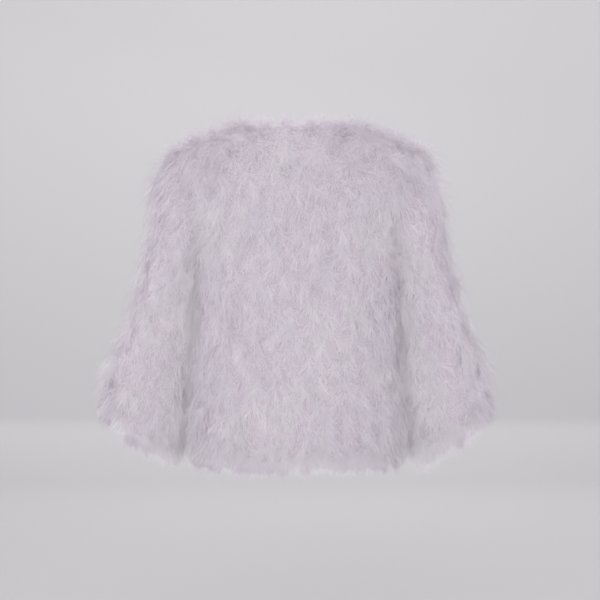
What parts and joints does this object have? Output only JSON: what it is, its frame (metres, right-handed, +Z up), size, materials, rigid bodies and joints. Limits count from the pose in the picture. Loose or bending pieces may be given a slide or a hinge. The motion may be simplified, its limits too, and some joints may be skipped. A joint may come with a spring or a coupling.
{
  "type": "feather jacket",
  "caption": "Short collarless jacket of lilac marabou feathers on cloth, with long bell sleeves and an edge-to-edge front, hollow as worn.",
  "frame": {"origin": "midway between the two points where a shoulder seam meets the neckline, where the wearer's neck and shoulders hold the jacket up", "axes": "+Z up, +X towards the wearer's left arm, the wearer faces -Y, so the back panel is at +Y"},
  "size_m": [0.6898, 0.3152, 0.6078],
  "materials": {
    "cloth": "plain woven backing cloth, matt",
    "feathers": "soft downy marabou feathers, matt"
  },
  "bodies": {
    "root": {"back": "cloth", "front_left": "cloth", "front_right": "cloth", "sleeve_left": "cloth", "sleeve_right": "cloth", "back_feathers": "feathers", "front_left_feathers": "feathers", "front_right_feathers": "feathers", "sleeve_left_cap_feathers": "feathers", "sleeve_left_feathers": "feathers", "sleeve_right_cap_feathers": "feathers", "sleeve_right_feathers": "feathers"}
  },
  "joints": []
}
